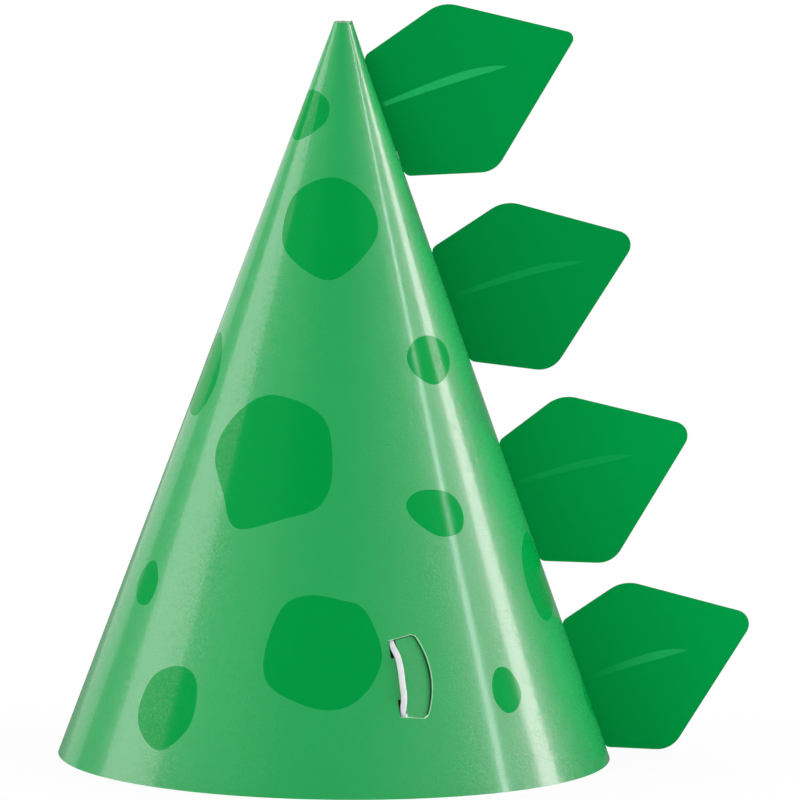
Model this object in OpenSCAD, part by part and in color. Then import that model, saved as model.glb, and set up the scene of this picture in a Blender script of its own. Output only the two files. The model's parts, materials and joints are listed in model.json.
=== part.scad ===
// Cone party hat of rolled card, with four leaf-shaped spikes in a row and a chin elastic.
// The origin is the centre of the rim, the cone points up, and the spikes stand on its +X side.

/* [Cone] */
// Diameter across the rim
rim_d = 127; // [110:1:150]
// Height from the rim to the cut tip
hat_h = 170; // [165:1:190]
// Diameter across the cut tip
tip_d = 3.9; // [3:0.1:8]
// Thickness of the cone's card
card_t = 0.4; // [0.3:0.05:0.6]

/* [Seam] */
// Angle from the row of spikes to the printed edge that shows
seam_angle = 14; // [12:1:24]
// Width of the glued lap, measured at the rim
lap_w = 8; // [6:1:12]
// Angle over which the outer layer climbs onto the lap
seam_ramp = 20; // [18:1:30]

/* [Spikes] */
// Thickness of the spikes' card
spike_t = 0.4; // [0.3:0.05:0.6]
// Distance from the cut tip down the wall to the middle of the first (top) spike
first_spike_down = 23; // [21:0.1:26]
// Distance from the rim up the wall to the middle of the fourth (bottom) spike
last_spike_up = 16.8; // [16.6:0.1:20]
// How far the first spike's point stands off the wall
spike_1_reach = 48.4; // [42:0.1:52]
// How far the second spike's point stands off the wall
spike_2_reach = 46.4; // [42:0.1:52]
// How far the third spike's point stands off the wall
spike_3_reach = 44.4; // [42:0.1:52]
// How far the fourth spike's point stands off the wall
spike_4_reach = 43.5; // [42:0.1:52]

/* [Leaf outline] */
// Length of the leaf's upper edge, from its point to its shoulder
upper_edge = 32.5; // [28:0.1:34]
// Angle of the upper edge to the wall's normal
upper_angle = 34.5; // [30:0.5:38]
// Length of the leaf's lower edge, from its point to its heel
lower_edge = 36.9; // [33:0.1:37]
// Angle of the lower edge to the wall's normal
lower_angle = 38.6; // [34:0.1:39]
// Angle at which the shoulder runs in to the wall
upper_neck = 14.7; // [10:0.1:18]
// Angle at which the heel runs in to the wall
lower_neck = 22.8; // [18:0.1:26]
// How far the point lies above the middle of the root
point_rise = 1.3; // [0.5:0.1:3]
// Radius of the leaf's shoulder
shoulder_r = 8; // [5:0.5:10]
// Radius of the first leaf's point
first_point_r = 1.7; // [1:0.1:3]
// Radius of the other leaves' points
point_r = 3.3; // [1.5:0.1:4]
// Radius of the leaf's heel
heel_r = 6; // [4:0.5:8]
// Radius of the corners where the leaf stands against the cone
neck_r = 1.8; // [0.8:0.1:2.4]

/* [Spike tabs] */
// Length of the slit that each spike goes through
slit_len = 18; // [14:0.5:20]
// Room for the card in its slit, on each side
slit_gap = 0.1; // [0.05:0.01:0.2]
// Width of the fingers that are glued inside the cone
finger_w = 5; // [3:0.1:5.5]
// Thickness of the glue under the fingers
glue_t = 0.1; // [0.05:0.01:0.2]

/* [Elastic flaps] */
// Angle from the row of spikes to the middle of each flap
flap_angle = 80; // [70:1:100]
// Height of the flap's middle, up the wall from the rim
flap_at = 28.1; // [24:0.1:40]
// Distance from the flap's middle line to its hinge
hinge_in = 4.1; // [3.5:0.1:5]
// Length of the hinge side of the cut
hinge_len = 17.6; // [17:0.1:20]
// Distance from the flap's middle line to its round side
bulge_out = 4.9; // [4:0.1:6]
// Radius of the flap's round side
bulge_r = 19; // [15:0.5:22]
// Length of the cut from its top to its bottom
cut_len = 19.4; // [18:0.1:22]
// Width of the cut that the knife leaves
kerf = 0.2; // [0.2:0.05:0.5]
// Angle that the flap is pushed in
flap_push = 6; // [4:1:14]
// Angle that the flap leans from the wall's own line
flap_lean = 3.5; // [0:0.5:6]
// Width of the notch that the elastic goes through
notch_w = 1.9; // [1.7:0.1:2.5]
// Length of the notch that the elastic goes through
notch_len = 4; // [3.8:0.1:5]

/* [Elastic] */
// Diameter of the elastic
cord_d = 1.4; // [1:0.1:1.6]
// Diameter of a stopper knot
knot_d = 3.4; // [3:0.1:3.4]
// Length of a stopper knot
knot_len = 3.2; // [2.5:0.1:4]

/* [Hidden] */
$fn = 96;
eps = 1;

rim_r = rim_d / 2;
tip_r = tip_d / 2;
wall_angle = atan((rim_r - tip_r) / hat_h);
// Thickness of the card, measured level instead of square to the wall
card_level = card_t / cos(wall_angle);
wall_len = hat_h / cos(wall_angle);
// Level shift that lifts the outer layer by one card where the printed edge lies
seam_shift = card_level / sin(seam_ramp);
lap_angle = lap_w / rim_r * 180 / PI;
// The lifted cone meets the plain one here, and the sector runs past it
ramp_overrun = 3;
sector_r = 2 * rim_r;

// The spikes share the wall evenly, and each strays a little in place, turn, top and foot angle
spike_reach = [spike_1_reach, spike_2_reach, spike_3_reach, spike_4_reach];
spike_stray = [0, -0.8, -1.3, 0];
spike_turn = [1, -0.8, 0.6, -0.7];
top_turn = [0.3, -1.5, 2.3, -1.2];
foot_turn = [-5.1, 4.8, -0.3, 0.5];
spike_point_r = [first_point_r, point_r, point_r, point_r];
last_spike = len(spike_reach) - 1;
spike_pitch = (wall_len - first_spike_down - last_spike_up) / last_spike;
spike_at = [for (i = [0 : last_spike]) last_spike_up + (last_spike - i) * spike_pitch + spike_stray[i]];
// Depth of a spike's tab below the wall's outer face: the card, the glue and half a finger
tab_depth = card_t + glue_t + spike_t / 2;
// Clearance between a spike's root and the wall
root_gap = 0.1;
slit_depth = 6;
// Fingers curve with the wall, so the block that cuts them out of a shell is this deep
finger_depth = 5;
// Cut between the two fingers of a tab, and their overlap with its blade
finger_split = 0.6;
finger_bite = 0.2;

corner_steps = 8;
bulge_steps = 10;
cut_corner_r = 0.9;
// Width of the score along the flap's hinge, and length of the fold between the notches
score_w = 0.1;
fold_len = hinge_len - 2 * notch_len;
// Middle of the card at the hinge, measured off the wall's outer face at the flap's middle line
flap_bend_r = (rim_r - flap_at * sin(wall_angle)) / cos(wall_angle);
fold_depth = -hinge_in * hinge_in / (2 * flap_bend_r) - card_t / 2;

// The elastic's route through a flap: off the wall, across it, and up it from the flap's middle
flap_route = [[-2.3, -3.6, 10.4], [-1.6, -3.6, 9], [-0.2, -3.6, 7], [0.8, -3.1, 4.8], [0.9, -2.7, 2],
              [0.9, -2.6, -1.5], [0.8, -2.5, -4.8], [-0.2, -2.6, -7], [-1.6, -2.7, -9]];
// Its drop to the table inside the cone: out from the axis, across, and up from the table
drop_route = [[53.4, -3.2, 14.4], [53, -3, 10.5], [52.4, -2.6, 6.6], [50.2, -2, 3], [46, -1, 1]];
// Its way across the table, under the cone
table_route = [[8, -40], [13, -34], [23, -31], [35, -27], [45, -17], [47, -3], [39, 9], [25, 13],
               [10, 9], [-4, 2], [-18, -4], [-33, -5], [-45, 3], [-49, 17], [-43, 31], [-30, 38],
               [-16, 36], [-5, 31], [3, 33], [7, 39]];
table_z = 0.75;
cord_sides = 8;
ring_pitch = 3 * cord_d;
knot_edge = 0.6;

function unit(v) = v / norm(v);

function turned(p, a) = [p.x * cos(a) - p.y * sin(a), p.x * sin(a) + p.y * cos(a)];

// Points of the arc of radius r that rounds the corner b between a and c
function corner(a, b, c, r) =
    let (u = unit(a - b), w = unit(c - b),
         half = acos(u * w) / 2,
         centre = b + unit(u + w) * r / sin(half),
         from = b + u * r / tan(half) - centre,
         to = b + w * r / tan(half) - centre,
         start = atan2(from.y, from.x),
         swing = atan2(from.x * to.y - from.y * to.x, from * to))
    [for (i = [0 : corner_steps]) let (q = start + swing * i / corner_steps) centre + r * [cos(q), sin(q)]];

// Moves its children to the wall's outer face: X off the wall, Y across it, Z up it
module on_wall(angle, up) {
    rotate([0, 0, angle])
        translate([rim_r - up * sin(wall_angle), 0, up * cos(wall_angle)])
            rotate([0, -wall_angle, 0])
                children();
}

// A solid cone whose face lies a level distance inside the hat's outer face
module solid_cone(inset = 0, past = 0) {
    translate([0, 0, -past])
        cylinder(h = hat_h + 2 * past,
                 r1 = rim_r - inset + past * tan(wall_angle),
                 r2 = tip_r - inset - past * tan(wall_angle));
}

module plain_wall() {
    difference() {
        solid_cone();
        solid_cone(card_level, eps);
    }
}

// A wedge of space about the axis, between two angles
module sector(from, to) {
    translate([0, 0, -2 * eps])
        linear_extrude(hat_h + 4 * eps)
            polygon([[0, 0],
                     sector_r * [cos(from), sin(from)],
                     sector_r * [cos(to), sin(to)]]);
}

// The cone moved sideways, so that its face climbs across the seam
module lifted_cone(from, inset = 0, past = 0) {
    lift_angle = seam_angle + seam_ramp - 90;
    intersection() {
        translate(seam_shift * [cos(lift_angle), sin(lift_angle), 0]) solid_cone(inset, past);
        sector(from, seam_angle + seam_ramp + ramp_overrun);
    }
}

// The sheet, rolled and lapped: a step outside at the printed edge, and one inside at the flap
module rolled_sheet() {
    difference() {
        union() {
            solid_cone();
            lifted_cone(seam_angle);
        }
        solid_cone(card_level, eps);
        lifted_cone(seam_angle + lap_angle, card_level, eps);
    }
}

// Outline of the D-shaped cut, across and up the wall, made smaller all round by trim
module cut_outline(trim = 0) {
    side = hinge_in - trim;
    half_hinge = hinge_len / 2 - trim;
    half_cut = cut_len / 2 - trim;
    out = bulge_out - trim;
    r = bulge_r - trim;
    bulge_end = asin((half_cut - cut_corner_r / 2) / r);
    bulge = [for (i = [0 : bulge_steps]) let (q = bulge_end * (2 * i / bulge_steps - 1))
             [out - r + r * cos(q), r * sin(q)]];
    crown = bulge_out - bulge_r + bulge_r * cos(bulge_end) - cut_corner_r;
    polygon(concat([[-side, half_hinge], [-side, -half_hinge], [crown, -half_cut]],
                   bulge,
                   [[crown, half_cut]]));
}

// Turns an outline drawn across and up the wall into a block that goes through it
module through_wall(depth = 3) {
    rotate([90, 0, 90]) linear_extrude(2 * depth, center = true) children();
}

// The flap's corners are cut away by the hinge, past the end of the cut
module notches() {
    for (end = [-1, 1])
        translate([-hinge_in + notch_w / 2, end * (hinge_len - notch_len + eps) / 2])
            square([notch_w, notch_len + eps], center = true);
}

// The near flap's place, leaning a little; the far one is its mirror image
module on_flap() {
    on_wall(-flap_angle, flap_at) rotate([flap_lean, 0, 0]) children();
}

// The card that stays in the cut, before it is pushed in, with the scored fold along its hinge
module flat_flap() {
    intersection() {
        rotate([-flap_lean, 0, 0])
            rotate([0, wall_angle, 0])
                translate([flap_at * sin(wall_angle) - rim_r, 0, -flap_at * cos(wall_angle)])
                    plain_wall();
        through_wall() difference() {
            union() {
                cut_outline(kerf);
                translate([score_w - hinge_in, -fold_len / 2]) square([kerf, fold_len]);
            }
            notches();
        }
    }
    translate([fold_depth, -hinge_in, 0])
        cube([card_t / 2, 2 * kerf, fold_len - kerf], center = true);
}

module flap() {
    on_flap()
        translate([fold_depth, -hinge_in, 0])
            rotate([0, 0, flap_push])
                translate([-fold_depth, hinge_in, 0])
                    flat_flap();
}

module near_and_far() {
    children();
    mirror([0, 1, 0]) children();
}

module slit(at) {
    on_wall(0, at) cube([slit_depth, spike_t + 2 * slit_gap, slit_len], center = true);
}

module cone() {
    color("limegreen") {
        difference() {
            rolled_sheet();
            near_and_far() on_flap() through_wall() cut_outline();
            for (at = spike_at) slit(at);
        }
        near_and_far() flap();
    }
}

// The leaf and its tab, off the wall and up it from the middle of the slit
function spike_outline(i) =
    let (turn = spike_turn[i],
         point = turned([spike_reach[i], point_rise], turn),
         shoulder = point + turned(upper_edge * [-cos(upper_angle), sin(upper_angle)], turn),
         heel = point - turned(lower_edge * [cos(lower_angle), sin(lower_angle)], turn),
         top = [root_gap, shoulder.y - (shoulder.x - root_gap) * tan(upper_neck + top_turn[i])],
         foot = [root_gap, heel.y + (heel.x - root_gap) * tan(lower_neck + foot_turn[i])],
         half_tab = slit_len / 2 - slit_gap,
         tab_top = [root_gap, half_tab],
         tab_foot = [root_gap, -half_tab])
    concat([tab_top, [-tab_depth, half_tab], [-tab_depth, -half_tab], tab_foot],
           corner(tab_foot, foot, heel, neck_r),
           corner(foot, heel, point, heel_r),
           corner(heel, point, shoulder, spike_point_r[i]),
           corner(point, shoulder, top, shoulder_r),
           corner(shoulder, top, tab_top, neck_r));

// A finger of the tab, bent to one side of the slit (1 or -1) and glued to the wall
module finger(at, side) {
    length = slit_len / 2 - slit_gap - finger_split / 2;
    intersection() {
        difference() {
            solid_cone((card_t + glue_t) / cos(wall_angle));
            solid_cone((card_t + glue_t + spike_t) / cos(wall_angle), eps);
        }
        on_wall(0, at)
            translate([-finger_depth / 2,
                       side * (finger_w - finger_bite) / 2,
                       side * (finger_split + length) / 2])
                cube([finger_depth, finger_w + finger_bite, length], center = true);
    }
}

module spike(i) {
    color("green") {
        on_wall(0, spike_at[i])
            rotate([90, 0, 0])
                linear_extrude(spike_t, center = true)
                    polygon(spike_outline(i));
        finger(spike_at[i], 1);
        finger(spike_at[i], -1);
    }
}

// A point beside the near flap, and a point turned with that flap, in the hat's own frame
function turned_near(p) =
    let (q = turned([p.x, p.y], -flap_angle)) [q.x, q.y, p.z];
function off_near_flap(p) =
    let (up = flap_at + p.z)
    turned_near([rim_r - up * sin(wall_angle) + p.x * cos(wall_angle),
                 p.y,
                 up * cos(wall_angle) + p.x * sin(wall_angle)]);

near_end = concat([for (p = flap_route) off_near_flap(p)], [for (p = drop_route) turned_near(p)]);
far_end = [for (i = [len(near_end) - 1 : -1 : 0]) [near_end[i].x, -near_end[i].y, near_end[i].z]];
cord_route = concat(near_end, [for (p = table_route) [p.x, p.y, table_z]], far_end);

// A point of the smooth curve that goes through b and c, at a share u of the way between them
function between(a, b, c, d, u) =
    (2 * b + (c - a) * u + (2 * a - 5 * b + 4 * c - d) * u * u + (3 * b - a - 3 * c + d) * u * u * u) / 2;

function smooth(route) =
    let (last = len(route) - 1,
         before = 2 * route[0] - route[1],
         after = 2 * route[last] - route[last - 1],
         all = concat([before], route, [after]))
    concat([for (i = [1 : last])
                let (steps = max(1, round(norm(all[i + 1] - all[i]) / ring_pitch)))
                for (k = [0 : steps - 1]) between(all[i - 1], all[i], all[i + 1], all[i + 2], k / steps)],
           [route[last]]);

function heading(path, i) =
    unit(path[min(i + 1, len(path) - 1)] - path[max(i - 1, 0)]);

// A side direction at each ring, carried along the path so that the tube does not twist
function sides_along(path, i, side) =
    i == len(path) ? [] :
    let (h = heading(path, i), s = unit(side - (side * h) * h))
    concat([s], sides_along(path, i + 1, s));

module tube(path, d) {
    sides = sides_along(path, 0, [0, 1, 0]);
    last = len(path) - 1;
    points = [for (i = [0 : last], k = [0 : cord_sides - 1])
              let (q = 360 * k / cord_sides, v = cross(heading(path, i), sides[i]))
              path[i] + d / 2 * (cos(q) * sides[i] + sin(q) * v)];
    walls = [for (i = [0 : last - 1], k = [0 : cord_sides - 1])
             let (next = (k + 1) % cord_sides)
             each [[i * cord_sides + k, (i + 1) * cord_sides + k, (i + 1) * cord_sides + next],
                   [i * cord_sides + k, (i + 1) * cord_sides + next, i * cord_sides + next]]];
    polyhedron(points, concat(walls,
                              [[for (k = [0 : cord_sides - 1]) k]],
                              [[for (k = [cord_sides - 1 : -1 : 0]) last * cord_sides + k]]));
}

module elastic() {
    color("white") tube(smooth(cord_route), cord_d);
}

// A stopper knot that ends the cord at a point, on the line from its next point
module knot(end, next) {
    away = unit(end - next);
    color("white")
        translate(end)
            rotate([0, acos(away.z), atan2(away.y, away.x)])
                rotate_extrude()
                    polygon([[0, 0], [knot_d / 2 - knot_edge, 0], [knot_d / 2, knot_edge],
                             [knot_d / 2, knot_len - knot_edge], [knot_d / 2 - knot_edge, knot_len],
                             [0, knot_len]]);
}

module knot_1() {
    knot(near_end[0], near_end[1]);
}

module knot_2() {
    mirror([0, 1, 0]) knot_1();
}

cone();
spike(0);  // spike_1
spike(1);  // spike_2
spike(2);  // spike_3
spike(3);  // spike_4
elastic();
knot_1();
knot_2();
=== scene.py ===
# Cone party hat of rolled pearl card, with four leaf-shaped card spikes and a chin elastic.
# Sizes are in millimetres until a mesh is made; angles are in degrees, counted about the hat's
# axis from the row of spikes, so the sheet runs once round from its printed edge to its glued one.
import json
import math

import bpy
from mathutils import Matrix, Vector
from mathutils.geometry import delaunay_2d_cdt

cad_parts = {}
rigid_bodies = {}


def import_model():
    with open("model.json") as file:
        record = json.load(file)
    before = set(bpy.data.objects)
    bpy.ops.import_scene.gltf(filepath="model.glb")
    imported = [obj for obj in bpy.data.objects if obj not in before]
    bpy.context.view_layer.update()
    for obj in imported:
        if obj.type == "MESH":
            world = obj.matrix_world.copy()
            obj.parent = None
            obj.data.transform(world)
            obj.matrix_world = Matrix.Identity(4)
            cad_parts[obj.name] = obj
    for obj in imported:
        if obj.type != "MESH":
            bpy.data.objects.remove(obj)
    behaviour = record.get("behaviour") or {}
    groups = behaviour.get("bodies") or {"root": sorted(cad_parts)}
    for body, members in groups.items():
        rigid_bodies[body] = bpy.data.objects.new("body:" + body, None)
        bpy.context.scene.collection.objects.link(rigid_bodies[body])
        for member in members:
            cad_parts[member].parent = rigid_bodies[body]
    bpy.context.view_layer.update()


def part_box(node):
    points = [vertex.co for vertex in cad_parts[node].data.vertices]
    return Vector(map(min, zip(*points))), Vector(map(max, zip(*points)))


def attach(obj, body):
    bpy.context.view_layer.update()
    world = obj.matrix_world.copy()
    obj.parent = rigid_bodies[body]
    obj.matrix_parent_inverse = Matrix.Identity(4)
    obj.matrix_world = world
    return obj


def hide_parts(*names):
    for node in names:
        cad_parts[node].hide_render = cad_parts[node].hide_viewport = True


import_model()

MM = 0.001

# Cone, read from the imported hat; the seam stands proud on the side of the spikes, so the
# rim's radius is taken from the other side
CONE_LOW, CONE_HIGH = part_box("cone")
RIM_R = -CONE_LOW[0] / MM
HAT_H = CONE_HIGH[2] / MM
TIP_R = 1.95
CARD = 0.4
WALL = math.atan((RIM_R - TIP_R) / HAT_H)
SLANT = RIM_R / math.sin(WALL)
APEX = RIM_R / math.tan(WALL)
TIP_UP = (RIM_R - TIP_R) / math.sin(WALL)

# Seam: where the printed edge lies, how far the glued edge runs under it, and how the upper
# layer comes back down to the wall
SEAM = 14.0
LAP = 7.2
GLUE = 0.06
SEAM_FALL = 15.0

# Spike slits, by the height of each slit's middle up the wall
SPIKE_UP = [157.8, 110.0, 62.5, 16.8]
SLIT_LENGTH = 18.0
SLIT_WIDTH = 0.6

# Elastic flaps
FLAP_ANGLE = 80.0
FLAP_UP = 28.1
FLAP_LEAN = 3.5
FLAP_PUSH = 6.0
HINGE_IN = 4.1
HINGE_LENGTH = 17.6
BULGE_OUT = 4.9
BULGE_R = 19.0
CUT_LENGTH = 19.4
CUT_CORNER = 0.9
KERF = 0.13
# Width of the pale rim painted round each cut as a highlight of its lit cut edge
RIM_HIGHLIGHT_WIDTH = 0.15
NOTCH_WIDTH = 1.9
NOTCH_LENGTH = 4.0
NOTCH_EDGE = NOTCH_WIDTH - HINGE_IN
FOLD_HALF = HINGE_LENGTH / 2 - NOTCH_LENGTH
CREASE = 0.8

# Elastic: through the near flap (off the wall, across, up), down to the table (out from the
# axis, across, up), and loosely across the table inside the cone
CORD_D = 1.4
TABLE_Z = 0.75
FLAP_ROUTE = [(-2.3, -3.6, 10.4), (-1.6, -3.6, 9), (-0.2, -3.6, 7), (0.8, -3.1, 4.8),
              (0.9, -2.7, 2), (0.9, -2.6, -1.5), (0.8, -2.5, -4.8), (-0.2, -2.6, -7),
              (-1.6, -2.7, -9)]
DROP_ROUTE = [(53.4, -3.2, 14.4), (53, -3, 10.5), (52.4, -2.6, 6.6), (50.2, -2, 3), (46, -1, 1)]
TABLE_ROUTE = [(8, -40), (13, -34), (23, -31), (35, -27), (45, -17), (47, -3), (39, 9), (25, 13),
               (10, 9), (-4, 2), (-18, -4), (-33, -5), (-45, 3), (-49, 17), (-43, 31), (-30, 38),
               (-16, 36), (-5, 31), (3, 33), (7, 39)]

# Outlines of the printed spots, across and up the wall from each spot's middle
SPOT_SHAPES = {
    "broad": [(-1.5, 12.4), (5, 11.2), (10.2, 6.5), (11.4, 0), (7, -7.2), (2, -11.3), (-3, -10.5),
              (-9.5, -5.5), (-11.8, 0), (-9.5, 8.4)],
    "shield": [(-1.4, 16.1), (7.4, 14.4), (12.2, 11), (14.4, 5.5), (15.5, -3), (13.2, -9),
              (6.4, -12.2), (-3, -15.4), (-7.4, -14), (-10.6, -7.5), (-15.2, 1.2), (-13.5, 8.1),
              (-7.6, 13.9)],
    "loaf": [(-3.3, 13.2), (4, 12.2), (8.9, 10.6), (12.4, 4.6), (13.6, -1.2), (11, -7.8),
              (6.6, -12.1), (1.2, -13.4), (-5, -11.9), (-11.4, -8.4), (-13.6, -3.4), (-12.4, 4),
              (-9, 11)],
    "oval": [(0, 10.3), (5.8, 8.9), (8.2, 3), (7.5, -4), (1.5, -9.5), (-5.5, -6.4), (-8.6, -0.6),
              (-6.6, 7)],
    "edge": [(3, 10), (-4, 7.4), (-7.5, 2.5), (-8.5, -2.5), (-7, -8.6), (-3, -10.5), (4, -9),
              (8.4, -4.5), (10, 3), (7.5, 8)],
    "round": [(-6.6, 1.2), (-3.5, 4.8), (1.5, 5.6), (6.3, 3.4), (7, -1), (3.4, -4.7), (-1, -5.8),
              (-5.4, -3)],
    "egg": [(-7.5, 2.5), (-3.4, 5.1), (4.3, 4), (7.4, -0.5), (5.6, -5.1), (-0.7, -5.8),
              (-6.3, -1.6)],
}

# Each spot: its shape, its angle, how far up the wall it is, its turn and its size
SPOTS = [
    ("round", 197, 158.5, 10, 1.05), ("broad", 253, 132, 0, 1), ("oval", 183, 94, 24, 1.02),
    ("shield", 236, 77, 0, 1), ("round", 307, 101, 0, 1), ("egg", 295, 66, 0, 1),
    ("oval", 197.3, 45, 33, 0.55), ("oval", 219, 18, 0, 1), ("loaf", 258, 34, 0, 1),
    ("round", 306, 23, 80, 0.78), ("edge", 337, 47, 0, 1), ("egg", 350.5, 15, 200, 0.9),
    ("loaf", 32, 36, 160, 0.95), ("round", 67, 20, 30, 0.9), ("oval", 64, 66, 80, 1.05),
    ("shield", 102, 40, 190, 0.9), ("egg", 134, 20, 120, 1), ("oval", 163, 22, 30, 0.9),
    ("broad", 146, 62, 60, 1.05), ("round", 101, 88, 15, 1), ("broad", 30, 96, 120, 0.9),
    ("egg", 62, 108, 250, 1), ("oval", 122, 120, 15, 0.95), ("round", 21, 132, 100, 0.8),
    ("egg", 80, 146, 60, 0.9),
]
SPOT_STEPS = 6

# How fine the sheet's mesh is: round the cone (in degrees; wider than FINE_R, and at the tip),
# and up it
SHEET_STEP = 2.0
TIP_STEP = 8.0
ROW_STEP = 7.0
FINE_R = 14.0

# The mesh of a flap: its bulge, its crease, and the places across and up it of its other points
BULGE_STEPS = 16
CREASE_STEPS = 4
FLAP_COLUMNS = [-1.6, 0, 1.6, 3.2]
FLAP_ROWS = [-8, -6, -4, -2, 0, 2, 4, 6, 8]
MESH_CLEAR = 0.1
ON_HINGE = 1e-4
SAME_POINT = 1e-5

# The cut edge this close to the top of the tip is as green as the print
TIP_EDGE = 1.0


def metres(point):
    return Vector(point) * MM


def turned(x, y, angle):
    c, s = math.cos(math.radians(angle)), math.sin(math.radians(angle))
    return x * c - y * s, x * s + y * c


def fan_directions(fan):
    """Outwards and sideways on the flat sheet, at an angle of its fan."""
    return Vector((math.cos(fan), math.sin(fan))), Vector((-math.sin(fan), math.cos(fan)))


def shape_piece(name, verts, faces, materials, slots=None):
    """A smooth mesh object at the origin, with its place in its mesh."""
    mesh = bpy.data.meshes.new(name)
    mesh.from_pydata([tuple(v) for v in verts], [], faces)
    for material in materials:
        mesh.materials.append(material)
    if slots is not None:
        mesh.polygons.foreach_set("material_index", slots)
    mesh.polygons.foreach_set("use_smooth", [True] * len(mesh.polygons))
    piece = bpy.data.objects.new(name, mesh)
    bpy.context.scene.collection.objects.link(piece)
    return piece


def curve_between(a, b, c, d, share):
    """A point of the smooth curve that goes through b and c."""
    return (2 * b + (c - a) * share + (2 * a - 5 * b + 4 * c - d) * share ** 2
            + (3 * b - a - 3 * c + d) * share ** 3) / 2


# Camera

VIEW_SIDE = -9.0
VIEW_UP = 8.1
VIEW_ROLL = 0.7
CAMERA_AWAY = 4.0
FRAME_WIDTH = 183.7
AIM_UP = 82.7
AIM_RIGHT = 14.2
SENSOR = 36.0


def bearing(side, up):
    """The direction of a place seen from the hat, at an angle to the right of the -Y side."""
    a, e = math.radians(side), math.radians(up)
    return Vector((math.sin(a) * math.cos(e), -math.cos(a) * math.cos(e), math.sin(e)))


def look(holder, place, aim, roll=0.0):
    turn = (place - aim).to_track_quat("Z", "Y").to_matrix().to_4x4()
    rolled_over = Matrix.Rotation(math.radians(roll), 4, "Z")
    holder.matrix_world = Matrix.Translation(place) @ turn @ rolled_over


def make_camera():
    data = bpy.data.cameras.new("view")
    data.sensor_width = SENSOR
    data.lens = SENSOR * CAMERA_AWAY / (FRAME_WIDTH * MM)
    data.clip_end = 40
    camera = bpy.data.objects.new("view", data)
    bpy.context.scene.collection.objects.link(camera)
    right = Vector((math.cos(math.radians(VIEW_SIDE)), math.sin(math.radians(VIEW_SIDE)), 0))
    aim = metres((0, 0, AIM_UP)) + right * AIM_RIGHT * MM
    look(camera, aim + bearing(VIEW_SIDE, VIEW_UP) * CAMERA_AWAY, aim, VIEW_ROLL)
    bpy.context.scene.camera = camera


# Node helpers

def add_node(tree, kind, **settings):
    node = tree.nodes.new(kind)
    for name, value in settings.items():
        setattr(node, name, value)
    return node


def feed(tree, socket, value):
    if isinstance(value, bpy.types.NodeSocket):
        tree.links.new(value, socket)
    else:
        socket.default_value = value


def calc(tree, operation, *values, clamp=False):
    node = add_node(tree, "ShaderNodeMath", operation=operation, use_clamp=clamp)
    for socket, value in zip(node.inputs, values):
        feed(tree, socket, value)
    return node.outputs[0]


def calc_vector(tree, operation, *values):
    node = add_node(tree, "ShaderNodeVectorMath", operation=operation)
    for socket, value in zip(node.inputs, values):
        feed(tree, socket, value)
    return node.outputs["Value" if operation == "DOT_PRODUCT" else "Vector"]


def scaled_vector(tree, vector, factor):
    node = add_node(tree, "ShaderNodeVectorMath", operation="SCALE")
    feed(tree, node.inputs[0], vector)
    feed(tree, node.inputs["Scale"], factor)
    return node.outputs["Vector"]


def mixed(tree, share, a, b):
    """The colour a, turning to b as share goes from 0 to 1."""
    node = add_node(tree, "ShaderNodeMix", data_type="RGBA")
    for socket, value in zip((node.inputs[0], node.inputs[6], node.inputs[7]), (share, a, b)):
        feed(tree, socket, value)
    return node.outputs[2]


def new_group(name, inputs, outputs, kind="ShaderNodeTree"):
    """A node group whose inputs are (name, socket type, value) and outputs (name, socket type)."""
    group = bpy.data.node_groups.new(name, kind)
    for label, socket_type, value in inputs:
        socket = group.interface.new_socket(label, in_out="INPUT", socket_type=socket_type)
        if value is not None:
            socket.default_value = value
    for label, socket_type in outputs:
        group.interface.new_socket(label, in_out="OUTPUT", socket_type=socket_type)
    given, out = add_node(group, "NodeGroupInput"), add_node(group, "NodeGroupOutput")
    return group, given.outputs, out.inputs


def place_group(tree, group, **values):
    node = add_node(tree, "ShaderNodeGroup", node_tree=group)
    for name, value in values.items():
        feed(tree, node.inputs[name.replace("_", " ").title()], value)
    return node.outputs


def srgb(red, green, blue):
    """A colour read off as 0 to 255, as the shader takes it."""
    def linear(value):
        value /= 255
        return value / 12.92 if value <= 0.04045 else ((value + 0.055) / 1.055) ** 2.4
    return (linear(red), linear(green), linear(blue), 1.0)


def new_finish(name):
    finish = bpy.data.materials.new(name)
    finish.use_nodes = True
    tree = finish.node_tree
    tree.nodes.clear()
    shader = add_node(tree, "ShaderNodeBsdfPrincipled")
    tree.links.new(shader.outputs[0], add_node(tree, "ShaderNodeOutputMaterial").inputs[0])
    return finish, tree, shader.inputs


def object_place(tree):
    return add_node(tree, "ShaderNodeTexCoord").outputs["Object"]


def fine_noise(tree, place, scale, detail):
    noise = add_node(tree, "ShaderNodeTexNoise")
    noise.inputs["Scale"].default_value = scale
    noise.inputs["Detail"].default_value = detail
    tree.links.new(place, noise.inputs["Vector"])
    return noise.outputs[0]


def raise_grain(tree, shader, height, strength, rise):
    """Gives a finish its fine relief, rise metres high."""
    bump = add_node(tree, "ShaderNodeBump")
    bump.inputs["Strength"].default_value = strength
    bump.inputs["Distance"].default_value = rise
    tree.links.new(height, bump.inputs["Height"])
    tree.links.new(bump.outputs[0], shader["Normal"])


# Finishes

# Pearl card: how rough its ink is and how much more so at a bright flake, how high a flake
# stands (in metres), how rough the clear coat is, and its weight over a dull and a bright flake
PEARL_ROUGHNESS = 0.29
FLAKE_ROUGHNESS = 0.1
FLAKE_RISE = 0.00005
COAT_ROUGHNESS = 0.125
DULL_COAT = 0.5
BRIGHT_COAT = 0.9


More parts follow.
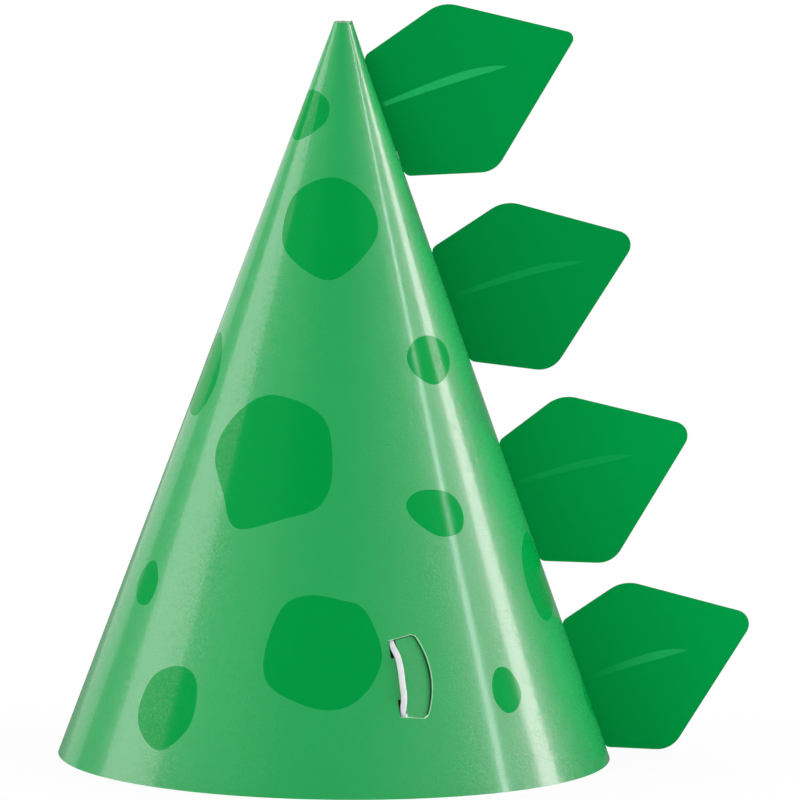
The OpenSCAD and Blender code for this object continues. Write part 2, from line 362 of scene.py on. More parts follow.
def make_flake_group():
    """Pearl flakes in the ink: each small cell is a facet with its own tilt."""
    group, given, out = new_group(
        "pearl flakes",
        [("Place", "NodeSocketVector", None), ("Flakes Per Metre", "NodeSocketFloat", 2900.0)],
        [("Height", "NodeSocketFloat"), ("Speck", "NodeSocketFloat")])
    cells = add_node(group, "ShaderNodeTexVoronoi", feature="F1", voronoi_dimensions="3D")
    feed(group, cells.inputs["Vector"], given["Place"])
    feed(group, cells.inputs["Scale"], given["Flakes Per Metre"])
    here = scaled_vector(group, given["Place"], given["Flakes Per Metre"])
    middle = scaled_vector(group, cells.outputs["Position"], given["Flakes Per Metre"])
    from_middle = calc_vector(group, "SUBTRACT", here, middle)
    lean = calc_vector(group, "SUBTRACT", cells.outputs["Color"], (0.5, 0.5, 0.5))
    feed(group, out["Height"], calc_vector(group, "DOT_PRODUCT", from_middle, lean))
    shade = add_node(group, "ShaderNodeSeparateColor")
    feed(group, shade.inputs[0], cells.outputs["Color"])
    feed(group, out["Speck"], shade.outputs[0])
    return group


def make_drift_group():
    """Slow, faint change of an ink's strength over the sheet."""
    group, given, out = new_group(
        "ink drift",
        [("Place", "NodeSocketVector", None), ("Size", "NodeSocketFloat", 40.0),
         ("Strength", "NodeSocketFloat", 0.06), ("Ink", "NodeSocketColor", (0.1, 0.4, 0.1, 1))],
        [("Colour", "NodeSocketColor")])
    cloud = add_node(group, "ShaderNodeTexNoise")
    cloud.inputs["Detail"].default_value = 3
    feed(group, cloud.inputs["Vector"], given["Place"])
    feed(group, cloud.inputs["Scale"], given["Size"])
    centred = calc(group, "SUBTRACT", cloud.outputs[0], 0.5)
    level = calc(group, "ADD", calc(group, "MULTIPLY", centred, given["Strength"]), 1.0)
    feed(group, out["Colour"], scaled_vector(group, given["Ink"], level))
    return group


def make_pearl(name, ink, gloss, sheen_tint, coat, groups):
    """Printed pearl card: flakes that spread a lamp's light wide, under a smooth clear coat."""
    finish, tree, shader = new_finish(name)
    place = object_place(tree)
    flakes = place_group(tree, groups["flakes"], place=place)
    drift = place_group(tree, groups["drift"], place=place, ink=ink)
    tree.links.new(drift["Colour"], shader["Base Color"])
    rough = calc(tree, "MULTIPLY", flakes["Speck"], FLAKE_ROUGHNESS)
    rough = calc(tree, "ADD", rough, PEARL_ROUGHNESS)
    tree.links.new(rough, shader["Roughness"])
    raise_grain(tree, shader, flakes["Height"], 1.0, FLAKE_RISE)
    shader["IOR"].default_value = gloss
    shader["Specular Tint"].default_value = sheen_tint
    glint = calc(tree, "MULTIPLY", calc(tree, "POWER", flakes["Speck"], 2.0), BRIGHT_COAT)
    sparkle = calc(tree, "ADD", glint, DULL_COAT)
    tree.links.new(calc(tree, "MULTIPLY", sparkle, coat, clamp=True), shader["Coat Weight"])
    shader["Coat Roughness"].default_value = COAT_ROUGHNESS
    return finish


def make_board(name, colour, roughness, groups):
    """Bare board: the unprinted back of the sheet, its cut edges, and the painted highlight rim
    round each cut.
    """
    finish, tree, shader = new_finish(name)
    place = object_place(tree)
    drift = place_group(tree, groups["drift"], place=place, ink=colour, size=90.0, strength=0.05)
    tree.links.new(drift["Colour"], shader["Base Color"])
    raise_grain(tree, shader, fine_noise(tree, place, 900, 4), 0.35, 0.00003)
    shader["Roughness"].default_value = roughness
    return finish


# The sheet of card, drawn flat about the point where its two straight edges would meet

def flat(angle, up, across=0.0):
    """A point of the flat sheet, across and up from a place on the wall."""
    out, side = fan_directions(math.radians(angle) * math.sin(WALL))
    return out * (SLANT - up) + side * across


def layer_lift(angle):
    """How far the sheet stands off the plain cone: over the lap, and falling back from it."""
    past = angle - SEAM - LAP
    if past <= 0:
        return CARD + GLUE
    share = min(past / SEAM_FALL, 1.0)
    return (CARD + GLUE) * (1 - share * share * (3 - 2 * share))


def rolled(point, depth):
    """A flat point on the rolled cone, at a depth below the printed face."""
    slant = point.length
    angle = math.degrees(math.atan2(point.y, point.x)) / math.sin(WALL)
    off = layer_lift(angle) - depth
    r = slant * math.sin(WALL) + off * math.cos(WALL)
    z = APEX - slant * math.cos(WALL) + off * math.sin(WALL)
    return Vector((r * math.cos(math.radians(angle)), r * math.sin(math.radians(angle)), max(z, 0)))


class Flap:
    """One D-shaped flap, the near one or its mirror image on the far side."""

    def __init__(self, angle, side):
        self.side = side
        self.middle = flat(angle, FLAP_UP)
        self.out, self.across = fan_directions(math.atan2(self.middle.y, self.middle.x))
        low, high = (rolled(self.flat_point(-HINGE_IN, end * HINGE_LENGTH / 2), CARD / 2)
                     for end in (-1, 1))
        self.pivot, self.axis = low, (high - low).normalized()

    def flat_point(self, t, s):
        t, s = turned(t, s, FLAP_LEAN)
        return self.middle + self.across * t * self.side - self.out * s

    def own_place(self, point):
        """How far a flat point lies across and up the flap."""
        away = point - self.middle
        return turned(away.dot(self.across) * self.side, -away.dot(self.out), -FLAP_LEAN)

    def pushed(self, point, depth):
        t, _ = self.own_place(point)
        share = min(max((t + HINGE_IN) / CREASE, 0.0), 1.0)
        angle = math.radians(FLAP_PUSH) * share * share * (3 - 2 * share) * self.side
        spot = rolled(point, depth) - self.pivot
        return self.pivot + Matrix.Rotation(angle, 3, self.axis) @ spot

    def outline(self, trim):
        """The D, made smaller all round by trim."""
        half_cut = CUT_LENGTH / 2 - trim
        r = BULGE_R - trim
        end = math.asin((half_cut - CUT_CORNER / 2) / r)
        turns = [end * (2 * i / BULGE_STEPS - 1) for i in range(BULGE_STEPS + 1)]
        bulge = [(BULGE_OUT - BULGE_R + r * math.cos(q), r * math.sin(q)) for q in turns]
        crown = BULGE_OUT - BULGE_R + BULGE_R * math.cos(end) - CUT_CORNER
        half_hinge = HINGE_LENGTH / 2 - trim
        hinge = max(trim, 0) - HINGE_IN
        return ([(hinge, -half_hinge), (crown, -half_cut)] + bulge
                + [(crown, half_cut), (hinge, half_hinge)])

    def window(self):
        return [self.flat_point(t, s) for t, s in self.outline(0)]

    def highlight_rim(self):
        """A painted highlight: a pale rim all round the cut, standing in for its lit cut edge."""
        return [self.flat_point(t, s) for t, s in self.outline(-RIM_HIGHLIGHT_WIDTH)]

    def tongue(self):
        """The flap itself, joined to the wall along its hinge between the two notches."""
        notch_end = HINGE_LENGTH / 2 + MESH_CLEAR
        points = [(-HINGE_IN, FOLD_HALF), (-HINGE_IN, -FOLD_HALF), (NOTCH_EDGE, -FOLD_HALF),
                  (NOTCH_EDGE, -notch_end)]
        points += self.outline(KERF)[1:-1]
        points += [(NOTCH_EDGE, notch_end), (NOTCH_EDGE, FOLD_HALF)]
        return [self.flat_point(t, s) for t, s in points]

    def inner_points(self):
        """Mesh points between the flap's edges, close together over the crease."""
        crease = [-HINGE_IN + CREASE * i / CREASE_STEPS for i in range(1, CREASE_STEPS + 1)]
        return [self.flat_point(t, s) for t in crease + FLAP_COLUMNS for s in FLAP_ROWS
                if t > NOTCH_EDGE + MESH_CLEAR or abs(s) < FOLD_HALF - 2 * MESH_CLEAR]


FLAPS = [Flap(360 - FLAP_ANGLE, 1), Flap(FLAP_ANGLE, -1)]


def sheet_outline():
    """Rim, glued edge, tip and printed edge, in turn."""
    last = 360 + SEAM + LAP
    steps = round((last - SEAM) / SHEET_STEP)
    angles = [SEAM + (last - SEAM) * i / steps for i in range(steps + 1)]
    tip_steps = round((last - SEAM) / TIP_STEP)
    tip_angles = [SEAM + (last - SEAM) * i / tip_steps for i in range(tip_steps, -1, -1)]
    rows = row_heights()[1:-1]
    return ([flat(a, 0) for a in angles] + [flat(last, up) for up in rows]
            + [flat(a, TIP_UP) for a in tip_angles] + [flat(SEAM, up) for up in reversed(rows)])


def row_heights():
    count = round(TIP_UP / ROW_STEP)
    return [TIP_UP * i / count for i in range(count + 1)]


def sheet_points():
    last = 360 + SEAM + LAP
    points = []
    for row, up in enumerate(row_heights()[1:-1]):
        step = SHEET_STEP if (SLANT - up) * math.sin(WALL) > FINE_R else TIP_STEP / 2
        count = round((last - SEAM) / step)
        shift = 0.5 * (row % 2)
        points += [flat(SEAM + (last - SEAM) * (i + shift) / count, up) for i in range(1, count)]
    return points


def slit_outline(up):
    half = SLIT_LENGTH / 2
    return [flat(360, up + s, t) for t, s in ((-SLIT_WIDTH / 2, -half), (SLIT_WIDTH / 2, -half),
                                              (SLIT_WIDTH / 2, half), (-SLIT_WIDTH / 2, half))]


def spot_outline(shape, angle, up, turn, size):
    corners = [Vector(turned(x * size, y * size, turn)) for x, y in SPOT_SHAPES[shape]]
    count = len(corners)
    smooth = [curve_between(corners[i - 1], corners[i], corners[(i + 1) % count],
                            corners[(i + 2) % count], k / SPOT_STEPS)
              for i in range(count) for k in range(SPOT_STEPS)]
    middle = flat(angle, up)
    out, side = fan_directions(math.atan2(middle.y, middle.x))
    return [middle + side * p.x - out * p.y for p in smooth]


def anticlockwise(outline):
    doubled_area = sum(a.x * b.y - b.x * a.y for a, b in zip(outline, outline[1:] + outline[:1]))
    return outline if doubled_area > 0 else outline[::-1]


# The cone's finishes, in order
# The cut edge finish also paints the pale highlight rim round each flap's cut
BASE, SPOT, BOARD, CUT_EDGE_AND_RIM_HIGHLIGHT = range(4)


def cut_sheet():
    """Cuts the flat sheet into triangles: (points, [(triangle, its finish, its flap or None)])."""
    outlines = [("sheet", sheet_outline())]
    outlines += [("slit", slit_outline(up)) for up in SPIKE_UP]
    outlines += [("window", flap.window()) for flap in FLAPS]
    outlines += [("highlight_rim", flap.highlight_rim()) for flap in FLAPS]
    outlines += [(flap, flap.tongue()) for flap in FLAPS]
    outlines += [("spot", spot_outline(*spot)) for spot in SPOTS]
    points, loops = [], []
    for _, outline in outlines:
        loops.append(list(range(len(points), len(points) + len(outline))))
        points += anticlockwise(outline)
    points += sheet_points()
    for flap in FLAPS:
        points += flap.inner_points()
    cut = delaunay_2d_cdt(points, [], loops, 0, SAME_POINT, True)
    kept = []
    for triangle, owners in zip(cut[2], cut[5]):
        labels = [outlines[i][0] for i in owners]
        flap = next((label for label in labels if isinstance(label, Flap)), None)
        if "sheet" not in labels or "slit" in labels or ("window" in labels and flap is None):
            continue
        finish = SPOT if "spot" in labels else BASE
        # Painted highlight: the pale rim round each cut is given the cut edge's finish
        if "highlight_rim" in labels and flap is None:
            finish = CUT_EDGE_AND_RIM_HIGHLIGHT
        kept.append((tuple(triangle), finish, flap))
    return cut[0], kept


def placed(point, depth, flap):
    """A flat point on the finished hat, on a flap or on the wall."""
    return flap.pushed(point, depth) if flap else rolled(point, depth)


def facing(point, flap):
    """The direction that the printed face looks in, at a flat point."""
    step = 0.02
    here = placed(point, 0, flap)
    across = placed(point + Vector((-point.y, point.x)).normalized() * step, 0, flap) - here
    up = placed(point - point.normalized() * step, 0, flap) - here
    return across.cross(up).normalized()


def make_cone(finishes):
    """The printed sheet, rolled, with its board inside and its cut edges between them."""
    points, triangles = cut_sheet()
    keys, front, back, normals = {}, [], [], []

    def corner(index, flap):
        key = (index, flap)
        if flap and flap.own_place(points[index])[0] < ON_HINGE - HINGE_IN:
            key = (index, None)
        if key not in keys:
            keys[key] = len(front)
            front.append(placed(points[index], 0, key[1]) * MM)
            back.append(placed(points[index], CARD, key[1]) * MM)
            normals.append(facing(points[index], key[1]))
        return keys[key]

    faces = [tuple(corner(i, flap) for i in triangle) for triangle, _, flap in triangles]
    edges = {(face[i], face[(i + 1) % 3]) for face in faces for i in range(3)}
    open_edges = sorted(edge for edge in edges if (edge[1], edge[0]) not in edges)
    shift = len(front)
    inside = [tuple(shift + i for i in reversed(face)) for face in faces]
    walls = [(b, a, a + shift, b + shift) for a, b in open_edges]
    green_from = (HAT_H - TIP_EDGE) * MM
    wall_slots = [BASE if front[a].z > green_from else CUT_EDGE_AND_RIM_HIGHLIGHT for a, _ in open_edges]
    slots = [finish for _, finish, _ in triangles] + [BOARD] * len(inside) + wall_slots
    piece = shape_piece("cone_sheet", front + back, faces + inside + walls, finishes, slots)
    loop_normals = [normals[i] for face in faces for i in face]
    loop_normals += [-normals[i - shift] for face in inside for i in face]
    for polygon in list(piece.data.polygons)[len(faces) + len(inside):]:
        loop_normals += [polygon.normal.copy()] * 4
    piece.data.normals_split_custom_set(loop_normals)
    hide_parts("cone")
    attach(piece, "root")
    return piece


# Elastic

def off_near_flap(off, across, up):
    up += FLAP_UP
    r = RIM_R - up * math.sin(WALL) + off * math.cos(WALL)
    x, y = turned(r, across, -FLAP_ANGLE)
    return Vector((x, y, up * math.cos(WALL) + off * math.sin(WALL)))


def cord_route():
    near = [off_near_flap(*p) for p in FLAP_ROUTE]
    near += [Vector((*turned(out, across, -FLAP_ANGLE), up)) for out, across, up in DROP_ROUTE]
    far = [Vector((p.x, -p.y, p.z)) for p in reversed(near)]
    return near + [Vector((x, y, TABLE_Z)) for x, y in TABLE_ROUTE] + far


def smooth_route(route, pitch):
    before, after = 2 * route[0] - route[1], 2 * route[-1] - route[-2]
    full = [before] + route + [after]
    path = []
    for i in range(1, len(route)):
        steps = max(1, round((full[i + 1] - full[i]).length / pitch))
        path += [curve_between(full[i - 1], full[i], full[i + 1], full[i + 2], k / steps)
                 for k in range(steps)]
    return path + [route[-1]]


def line_curve(name, path):
    data = bpy.data.curves.new(name, "CURVE")
    data.dimensions = "3D"
    spline = data.splines.new("POLY")
    spline.points.add(len(path) - 1)
    for point, place in zip(spline.points, path):
        point.co = (*place, 1)
    line = bpy.data.objects.new(name, data)
    bpy.context.scene.collection.objects.link(line)
    return line


def make_braid_tree():
    """A cord braided from strands that cross over and under each other round a path."""
    tree, given, out = new_group(
        "braided cord",
        [("Path", "NodeSocketGeometry", None), ("Radius", "NodeSocketFloat", 0.00063),
         ("Strand Rise", "NodeSocketFloat", 0.00012), ("Strands", "NodeSocketFloat", 5.0),
         ("Pitch", "NodeSocketFloat", 0.0036), ("Ring Step", "NodeSocketFloat", 0.0003),
         ("Finish", "NodeSocketMaterial", None)],
        [("Cord", "NodeSocketGeometry")], "GeometryNodeTree")

    def captured(geometry, label, value):
        node = add_node(tree, "GeometryNodeCaptureAttribute")
        node.capture_items.new("FLOAT", label)
        feed(tree, node.inputs[0], geometry)
        feed(tree, node.inputs[1], value)
        return node.outputs[0], node.outputs[1]

    rings = add_node(tree, "GeometryNodeResampleCurve", mode="LENGTH")
    feed(tree, rings.inputs["Curve"], given["Path"])
    feed(tree, rings.inputs["Length"], given["Ring Step"])
    along = add_node(tree, "GeometryNodeSplineParameter")
    path, length = captured(rings.outputs[0], "along", along.outputs["Length"])
    circle = add_node(tree, "GeometryNodeCurvePrimitiveCircle")
    circle.inputs["Resolution"].default_value = 20
    feed(tree, circle.inputs["Radius"], given["Radius"])
    round_it = add_node(tree, "GeometryNodeSplineParameter")
    profile, share = captured(circle.outputs[0], "round", round_it.outputs["Factor"])
    swept = add_node(tree, "GeometryNodeCurveToMesh")
    feed(tree, swept.inputs["Curve"], path)
    feed(tree, swept.inputs["Profile Curve"], profile)
    swept.inputs["Fill Caps"].default_value = True
    turns = calc(tree, "MULTIPLY", calc(tree, "DIVIDE", length, given["Pitch"]), given["Strands"])
    spread = calc(tree, "MULTIPLY", share, given["Strands"])
    right = calc(tree, "ADD", spread, turns)
    left = calc(tree, "SUBTRACT", spread, turns)

    def strand(own, other, phase):
        ridge = calc(tree, "ABSOLUTE", calc(tree, "SINE", calc(tree, "MULTIPLY", own, math.pi)))
        weave = calc(tree, "ADD", other, calc(tree, "ADD", calc(tree, "FLOOR", own), phase))
        over = calc(tree, "COSINE", calc(tree, "MULTIPLY", weave, math.pi))
        level = calc(tree, "ADD", calc(tree, "MULTIPLY", over, 0.4), 0.6)
        return calc(tree, "MULTIPLY", ridge, level)

    height = calc(tree, "MAXIMUM", strand(right, left, 0.0), strand(left, right, 1.0))
    push = scaled_vector(tree, add_node(tree, "GeometryNodeInputNormal").outputs[0],
                         calc(tree, "MULTIPLY", height, given["Strand Rise"]))
    moved = add_node(tree, "GeometryNodeSetPosition")
    feed(tree, moved.inputs["Geometry"], swept.outputs[0])
    feed(tree, moved.inputs["Offset"], push)
    real = add_node(tree, "GeometryNodeRealizeInstances")
    feed(tree, real.inputs[0], moved.outputs[0])
    painted = add_node(tree, "GeometryNodeSetMaterial")
    feed(tree, painted.inputs["Geometry"], real.outputs[0])
    feed(tree, painted.inputs["Material"], given["Finish"])
    feed(tree, out["Cord"], painted.outputs[0])
    return tree


def braided(name, path, tree, finish, **sizes):
    """A plain mesh of the braid along a path, made by the tree and then kept without it."""
    line = line_curve(name + "_line", path)
    modifier = line.modifiers.new("braid", "NODES")
    modifier.node_group = tree
    values = {"Finish": finish, **sizes}
    for item in tree.interface.items_tree:
        if item.in_out == "INPUT" and item.name in values:
            modifier[item.identifier] = values[item.name]
    shown = line.evaluated_get(bpy.context.evaluated_depsgraph_get())
    mesh = bpy.data.meshes.new_from_object(shown)
    bpy.data.objects.remove(line)
    mesh.name = name
    mesh.polygons.foreach_set("use_smooth", [True] * len(mesh.polygons))
    piece = bpy.data.objects.new(name, mesh)
    bpy.context.scene.collection.objects.link(piece)
    return piece


def make_yarn(groups):
    """White elastic: fine threads, its white changing a little at random."""
    finish, tree, shader = new_finish("white elastic")
    place = object_place(tree)
    drift = place_group(tree, groups["drift"], place=place, ink=srgb(228, 230, 233), size=700.0,
                        strength=0.16)
    tree.links.new(drift["Colour"], shader["Base Color"])
    raise_grain(tree, shader, fine_noise(tree, place, 5000, 2), 0.5, 0.00004)
    shader["Roughness"].default_value = 0.75
    shader["Sheen Weight"].default_value = 0.3
    return finish


# Stopper knots, along the cord from its end: where the winding cord, its turns and its tail are
KNOT_FROM = 0.2
KNOT_TURNS_FROM = 0.5
KNOT_TURNS_LENGTH = 2.1
KNOT_TAIL_END = 2.8
KNOT_TURNS = 2.5
KNOT_TURN_R = 1.05
KNOT_STEPS = 40


def knot_path(end, away):
    """The cord's own end, wound round itself: two and a half tight turns and a short tail."""
    side = away.orthogonal().normalized()
    other = away.cross(side)
    path = [end + away * KNOT_FROM]
    for i in range(KNOT_STEPS + 1):
        q = 2 * math.pi * KNOT_TURNS * i / KNOT_STEPS
        axis_point = end + away * (KNOT_TURNS_FROM + KNOT_TURNS_LENGTH * i / KNOT_STEPS)
        path.append(axis_point + (side * math.cos(q) + other * math.sin(q)) * KNOT_TURN_R)
    return path + [end + away * KNOT_TAIL_END]


def make_knot(name, end, following, tree, finish):
    away = (end - following).normalized()
    path = [p * MM for p in knot_path(end, away)]
    piece = braided(name + "_wound", path, tree, finish,
                    **{"Radius": 0.00050, "Strand Rise": 0.0001, "Ring Step": 0.0002})
    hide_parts(name)
    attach(piece, "root")
    return piece


def make_elastic(groups):
    finish = make_yarn(groups)
    tree = make_braid_tree()
    route = cord_route()
    path = [p * MM for p in smooth_route(route, CORD_D / 2)]
    knots = [make_knot("knot_1", route[0], route[1], tree, finish),
             make_knot("knot_2", route[-1], route[-2], tree, finish)]
    piece = braided("elastic_braid", path, tree, finish)
    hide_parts("elastic")
    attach(piece, "root")


# Spikes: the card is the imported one, and the printed vein is drawn in its finish

def make_vein_group():
    """A tapered, bowed and slightly worn stroke, on a place counted along and across it."""
    group, given, out = new_group(
        "printed vein",
        [("Place", "NodeSocketVector", None), ("Length", "NodeSocketFloat", 30.0),
         ("Width", "NodeSocketFloat", 2.4), ("Bow", "NodeSocketFloat", 1.9),
         ("Root Fade", "NodeSocketFloat", 0.3)],
        [("Mask", "NodeSocketFloat")])
    place = add_node(group, "ShaderNodeSeparateXYZ")
    feed(group, place.inputs[0], given["Place"])
    along = calc(group, "DIVIDE", place.outputs["X"], given["Length"])
    size = calc(group, "ABSOLUTE", along)
    fall = calc(group, "SUBTRACT", 1.0, calc(group, "POWER", size, 3.0))
    arch = calc(group, "MULTIPLY", calc(group, "MULTIPLY", along, fall), given["Bow"])
    aside = calc(group, "ABSOLUTE", calc(group, "SUBTRACT", place.outputs["Y"], arch))
    taper = calc(group, "SUBTRACT", 1.0, calc(group, "POWER", size, 5.0), clamp=True)
    swell = calc(group, "ADD", calc(group, "MULTIPLY", along, 0.36), 0.22)
    half = calc(group, "MULTIPLY", calc(group, "MULTIPLY", taper, swell), given["Width"])
    edge = add_node(group, "ShaderNodeMapRange", interpolation_type="SMOOTHSTEP")
    feed(group, edge.inputs["Value"], calc(group, "SUBTRACT", half, aside))
    edge.inputs["From Min"].default_value = -0.12
    edge.inputs["From Max"].default_value = 0.12
    ends = calc(group, "MULTIPLY", calc(group, "GREATER_THAN", along, 0.0),
                calc(group, "LESS_THAN", along, 1.0))
    fade = calc(group, "DIVIDE", along, given["Root Fade"], clamp=True)
    shown = calc(group, "MULTIPLY", calc(group, "MULTIPLY", edge.outputs[0], ends), fade)
    rub = add_node(group, "ShaderNodeTexNoise")
    feed(group, rub.inputs["Vector"], given["Place"])
    rub.inputs["Scale"].default_value = 1.5
    worn = calc(group, "ADD", calc(group, "MULTIPLY", rub.outputs[0], 0.5), 0.68)
    feed(group, out["Mask"], calc(group, "MULTIPLY", shown, worn, clamp=True))
    return group


# For each spike: where its vein starts off and up the wall from the slit's middle, the vein's
# direction from square to the wall, length, width and bow, how strong and faded it is, and how
# strong the card's ink is: partly the print's own spread, and partly painted light that
# brightens the lower spikes, which the lamps light less
VEINS = [
    dict(start=(0.6, 2.4), heading=-3.2, length=30.2, width=2.4, bow=1.9,
         strength=1.0, fade=0.02, ink=0.98),
    dict(start=(1.4, 2.7), heading=-5.9, length=31.4, width=2.1, bow=2.1,
         strength=0.3, fade=0.2, ink=0.92),
    dict(start=(0.8, 4.1), heading=-7.7, length=28.5, width=2.1, bow=1.8,
         strength=0.3, fade=0.2, ink=1.1),
    dict(start=(1.6, 0.9), heading=-5.0, length=24.3, width=2.4, bow=1.75,
         strength=0.95, fade=0.7, ink=1.14),
]
# Painted shade: the spike card's colour by the cone, darker than the card further out
SPIKE_SHADE_BY_CONE = srgb(0, 143, 64)
SPIKE_OUTER = srgb(0, 150, 68)
SPIKE_EDGE = srgb(0, 112, 50)
VEIN_INK = srgb(32, 176, 96)


def make_spike_finish(i, groups):
    """Dark green card, with painted shade that darkens it towards the cone, with its vein and darker
    cut edges.
    """
    vein = VEINS[i]
    finish, tree, shader = new_finish("spike card %d" % (i + 1))
    place = object_place(tree)
    up = SPIKE_UP[i]
    root = metres((RIM_R - up * math.sin(WALL), 0, up * math.cos(WALL)))
    flat_leaf = add_node(tree, "ShaderNodeMapping", vector_type="TEXTURE")
    flat_leaf.inputs["Location"].default_value = root
    flat_leaf.inputs["Rotation"].default_value = (math.pi / 2, -WALL, 0)
    flat_leaf.inputs["Scale"].default_value = (MM, MM, MM)
    tree.links.new(place, flat_leaf.inputs["Vector"])
    along = add_node(tree, "ShaderNodeMapping", vector_type="TEXTURE")
    along.inputs["Location"].default_value = (*vein["start"], 0)
    along.inputs["Rotation"].default_value = (0, 0, math.radians(vein["heading"]))
    tree.links.new(flat_leaf.outputs[0], along.inputs["Vector"])
    mask = place_group(tree, groups["vein"], place=along.outputs[0], length=vein["length"],
                       width=vein["width"], bow=vein["bow"], root_fade=vein["fade"])["Mask"]
    leaf = add_node(tree, "ShaderNodeSeparateXYZ")
    tree.links.new(flat_leaf.outputs[0], leaf.inputs[0])
    # Painted shade: the card darkens towards the cone, and is plain from 40 mm out
    out_of_shade = add_node(tree, "ShaderNodeMapRange", interpolation_type="SMOOTHSTEP")
    tree.links.new(leaf.outputs["X"], out_of_shade.inputs["Value"])
    out_of_shade.inputs["From Max"].default_value = 40.0
    card = mixed(tree, out_of_shade.outputs[0], SPIKE_SHADE_BY_CONE, SPIKE_OUTER)
    # The ink factor is partly print and partly painted light, brightening the lower spikes
    card = scaled_vector(tree, card, vein["ink"])
    inked = mixed(tree, calc(tree, "MULTIPLY", mask, vein["strength"]), card, VEIN_INK)
    side = add_node(tree, "ShaderNodeSeparateXYZ")
    tree.links.new(add_node(tree, "ShaderNodeNewGeometry").outputs["True Normal"], side.inputs[0])
    printed = calc(tree, "GREATER_THAN", calc(tree, "ABSOLUTE", side.outputs["Y"]), 0.9)
    ink = mixed(tree, printed, SPIKE_EDGE, inked)
    drift = place_group(tree, groups["drift"], place=place, ink=ink, strength=0.05)
    tree.links.new(drift["Colour"], shader["Base Color"])
    raise_grain(tree, shader, fine_noise(tree, place, 1200, 3), 0.25, 0.00002)
    shader["Roughness"].default_value = 0.5
    shader["Specular IOR Level"].default_value = 0.01
    return finish


def dress_spikes(groups):
    for i in range(len(SPIKE_UP)):
        node = bpy.data.objects["spike_%d" % (i + 1)]
        finish = make_spike_finish(i, groups)
        for slot in node.material_slots:
            slot.material = finish


# Table, lamps and surroundings

# The table: how white it is, its glow's share of it as seen, how much less it glows in the
# card's gloss, and how far it reaches (in metres)
TABLE_WHITE = 0.94
TABLE_GLOW = 0.92
GLOSS_DROP = -0.85
TABLE_HALF = 12.0


def make_floor():
    """A white table that keeps the hat's shadow."""
    finish, tree, shader = new_finish("white table")
    shader["Base Color"].default_value = (TABLE_WHITE, TABLE_WHITE, TABLE_WHITE, 1)
    shader["Roughness"].default_value = 0.9
    shader["Specular IOR Level"].default_value = 0.1
    rays = add_node(tree, "ShaderNodeLightPath")
    seen = calc(tree, "MAXIMUM", rays.outputs["Is Camera Ray"], rays.outputs["Is Glossy Ray"])
    seen = calc(tree, "MAXIMUM", seen, rays.outputs["Is Transmission Ray"])
    white = add_node(tree, "ShaderNodeEmission")
    dark_gloss = calc(tree, "MULTIPLY", rays.outputs["Is Glossy Ray"], GLOSS_DROP)
    tree.links.new(calc(tree, "ADD", dark_gloss, 1.0), white.inputs["Strength"])
    blend = add_node(tree, "ShaderNodeMixShader")
    tree.links.new(calc(tree, "MULTIPLY", seen, TABLE_GLOW), blend.inputs[0])
    tree.links.new(shader["Base Color"].node.outputs[0], blend.inputs[1])
    tree.links.new(white.outputs[0], blend.inputs[2])
    output = next(node for node in tree.nodes if node.type == "OUTPUT_MATERIAL")
    tree.links.new(blend.outputs[0], output.inputs[0])
    mesh = bpy.data.meshes.new("table")
    mesh.from_pydata([(x * TABLE_HALF, y * TABLE_HALF, 0)
                      for x, y in ((-1, -1), (1, -1), (1, 1), (-1, 1))], [], [(0, 1, 2, 3)])
    mesh.materials.append(finish)
    floor = bpy.data.objects.new("table", mesh)
    bpy.context.scene.collection.objects.link(floor)


# How bright the studio round the hat is, as light and in the card's gloss
STUDIO_LEVEL = 0.35
GLOSS_LEVEL = 0.04


def softbox(name, side, up, away, width, height, brightness, colour=(1, 1, 1), in_gloss=True):
    """A tall lamp panel, at an angle to the right of the camera, as bright as a plain level of 1."""
    data = bpy.data.lights.new(name, "AREA")
    data.shape = "RECTANGLE"
    data.size, data.size_y = width, height
    data.energy = brightness * math.pi * width * height
    data.color = colour
    lamp = bpy.data.objects.new(name, data)
    lamp.visible_camera = False
    lamp.visible_glossy = in_gloss
    bpy.context.scene.collection.objects.link(lamp)
    aim = metres((0, 0, AIM_UP))
    look(lamp, aim + bearing(VIEW_SIDE + side, up) * away, aim)


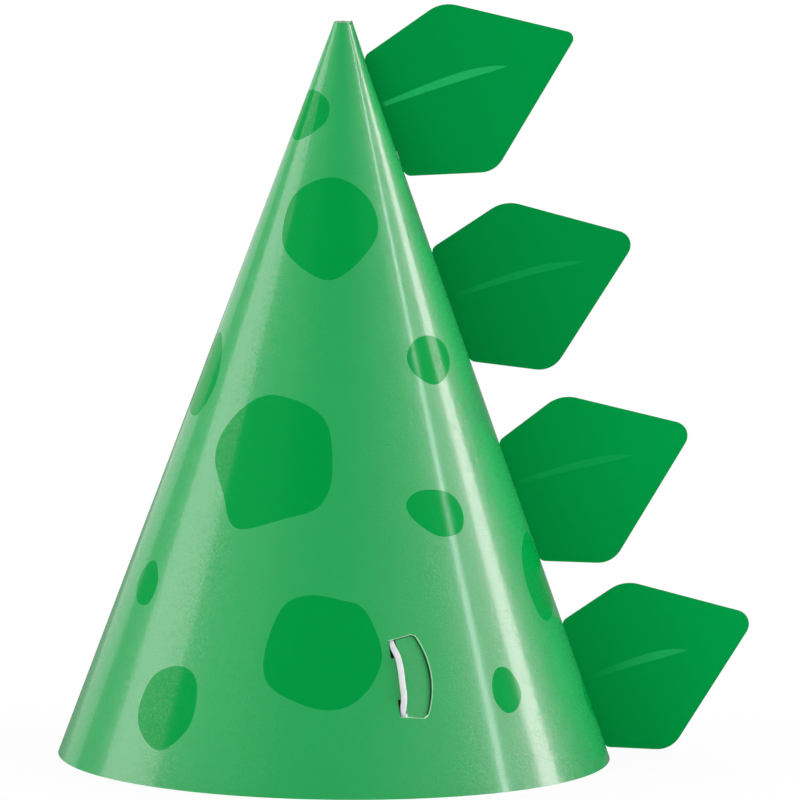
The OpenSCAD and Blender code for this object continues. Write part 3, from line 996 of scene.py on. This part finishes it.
def make_surroundings():
    """A studio that looks white, gives less light than that, and is dark in the card's gloss."""
    world = bpy.data.worlds.new("studio")
    world.use_nodes = True
    tree = world.node_tree
    rays = add_node(tree, "ShaderNodeLightPath")
    dim = calc(tree, "MULTIPLY", rays.outputs["Is Glossy Ray"], GLOSS_LEVEL - STUDIO_LEVEL)
    level = calc(tree, "ADD", dim, STUDIO_LEVEL)
    plain = calc(tree, "MULTIPLY", rays.outputs["Is Camera Ray"], 1 - STUDIO_LEVEL)
    background = tree.nodes["Background"]
    background.inputs["Color"].default_value = (1, 1, 1, 1)
    tree.links.new(calc(tree, "ADD", level, plain), background.inputs["Strength"])
    world.cycles.sampling_method = "NONE"
    bpy.context.scene.world = world


def make_lamps():
    """Each lamp: its angles to the side and up, distance, width, height, brightness and colour."""
    softbox("left panel", -97.5, 20, 1.1, 0.6, 1.2, 1.9, (1.0, 0.94, 1.0))
    softbox("back panel", -160, 20, 1.3, 1.3, 1.2, 0.62)
    softbox("right strip", 102.5, 19, 1.0, 0.19, 1.2, 7.4, (1.0, 0.86, 0.93))
    softbox("right thin strip", 77.5, 19, 1.0, 0.055, 1.2, 11, (0.93, 0.93, 1.0))
    softbox("left fill", -58, 25, 2.0, 1.4, 1.6, 2.5, in_gloss=False)
    softbox("right fill", 54, 25, 2.0, 1.4, 1.6, 1.5, in_gloss=False)
    softbox("back fill", 180, 30, 2.0, 1.8, 1.6, 1.6, in_gloss=False)


def main():
    bpy.context.scene.view_settings.view_transform = "Standard"
    make_camera()
    groups = {"flakes": make_flake_group(), "drift": make_drift_group(), "vein": make_vein_group()}
    make_elastic(groups)
    finishes = [make_pearl("green pearl card", srgb(16, 181, 91), 1.9, (1.0, 0.5, 0.85, 1), 1.0,
                           groups),
                make_pearl("dark green spots", srgb(0, 155, 67), 1.1, (0.2, 0.9, 0.4, 1), 0.6,
                           groups),
                make_board("bare board", srgb(236, 236, 230), 0.8, groups),
                # The cut edge's pale green is also the painted highlight rim round each flap's cut
                make_board("cut edge", srgb(168, 224, 182), 0.8, groups)]
    make_cone(finishes)
    dress_spikes(groups)
    make_floor()
    make_surroundings()
    make_lamps()


main()
